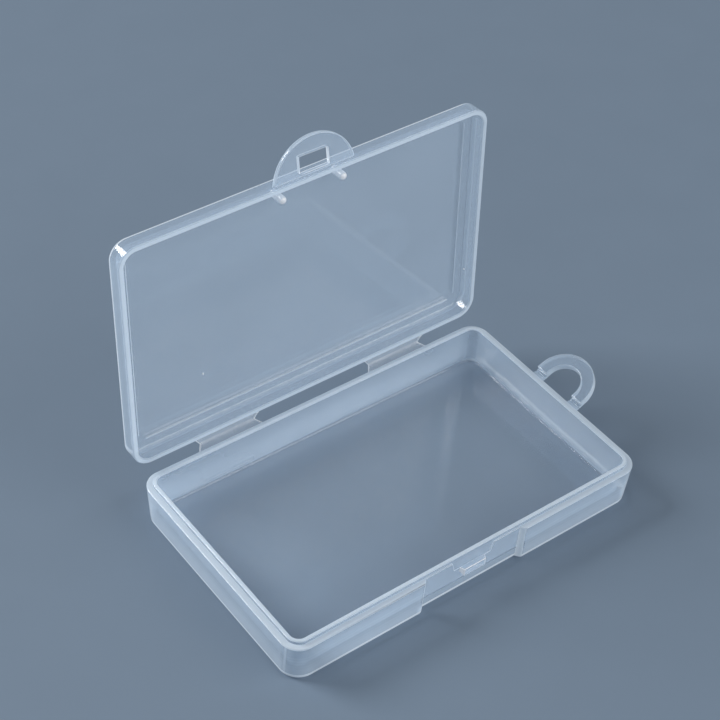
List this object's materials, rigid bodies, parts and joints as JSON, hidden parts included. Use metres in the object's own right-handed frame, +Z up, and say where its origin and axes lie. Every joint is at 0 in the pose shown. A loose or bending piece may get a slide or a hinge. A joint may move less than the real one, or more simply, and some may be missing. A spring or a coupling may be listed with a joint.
{
  "type": "hinged storage case",
  "caption": "Shallow rectangular storage case in milky translucent plastic, with film hinges, a half-round windowed snap latch, a catch lug in a recess and a hang loop.",
  "frame": {"origin": "centre of the tray's flat underside", "axes": "+X along the case towards the hang loop, +Y towards the hinge and the open lid, +Z up; the latch faces -Y when shut"},
  "size_m": [0.1055, 0.0683, 0.0811],
  "materials": {
    "polypropylene": "translucent milky polypropylene, smooth and slightly waxy, clearer where it is thin"
  },
  "bodies": {
    "tray": {"tray_shell": "polypropylene", "catch_lug": "polypropylene", "lid_hinge_leaf_tray_left": "polypropylene", "lid_hinge_leaf_tray_right": "polypropylene", "lid_hinge_film_left": "polypropylene", "lid_hinge_film_right": "polypropylene", "loop_root_front": "polypropylene", "loop_root_back": "polypropylene", "loop_film_front": "polypropylene", "loop_film_back": "polypropylene"},
    "lid": {"lid_shell": "polypropylene", "locating_post_left": "polypropylene", "locating_post_right": "polypropylene", "lid_hinge_leaf_lid_left": "polypropylene", "lid_hinge_leaf_lid_right": "polypropylene", "latch_strip": "polypropylene", "latch_film": "polypropylene"},
    "latch": {"latch_tab": "polypropylene"},
    "loop": {"hang_loop": "polypropylene"}
  },
  "joints": [
    {"name": "lid_hinge", "type": "hinge", "parent": "tray", "child": "lid", "pos_m": [0, 0.03111, 0.0107], "axis": [-1, 0, 0], "range_deg": [-93, 87]},
    {"name": "latch_hinge", "type": "hinge", "parent": "lid", "child": "latch", "pos_m": [0, 0.0342, 0.07167], "axis": [-1, 0, 0], "range_deg": [-102.5, 60]},
    {"name": "loop_hinge", "type": "hinge", "parent": "tray", "child": "loop", "pos_m": [0.0486, 0, 0.01005], "axis": [0, -1, 0], "range_deg": [-110, 20], "stiffness_Nm_per_rad": 0.03}
  ]
}
